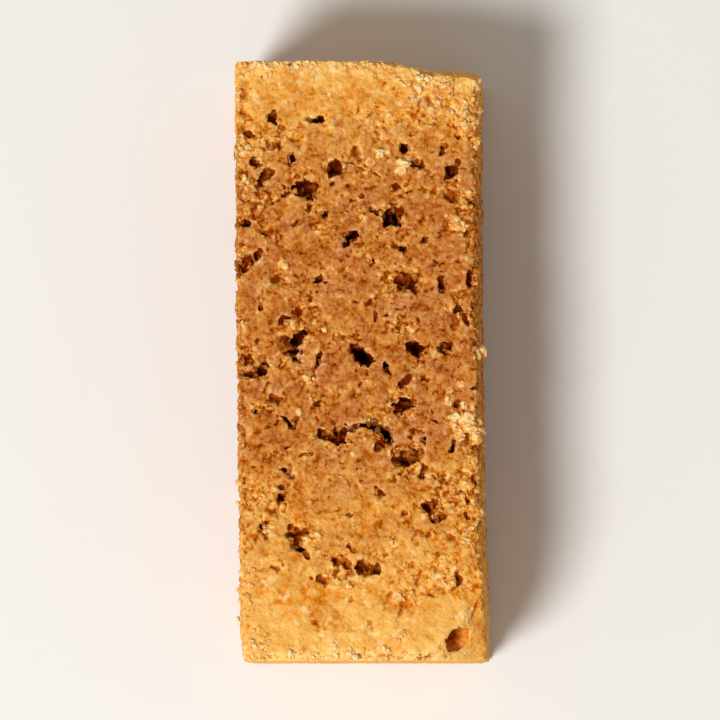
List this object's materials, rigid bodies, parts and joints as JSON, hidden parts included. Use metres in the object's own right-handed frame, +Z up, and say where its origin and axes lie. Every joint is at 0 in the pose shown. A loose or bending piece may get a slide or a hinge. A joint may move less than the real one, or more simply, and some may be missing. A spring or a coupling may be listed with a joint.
{
  "type": "mysore pak",
  "caption": "Rectangular bar of crumbly gram-flour sweet, porous and caramel brown in the middle, paler at its ends, with one end cut askew and a broken corner.",
  "frame": {"origin": "middle of the underside's bounding rectangle, on the surface that the bar rests on", "axes": "+Z up; Y along the bar, with the broken corner at the -Y end and the askew cut at the +Y end; +X across the bar, towards both of these"},
  "size_m": [0.0306, 0.0726, 0.0249],
  "materials": {
    "baked_crumb": "dull, porous baked crumb, caramel brown in the middle and pale gold at both ends"
  },
  "bodies": {
    "root": {"mysore_pak": "baked_crumb"}
  },
  "joints": []
}
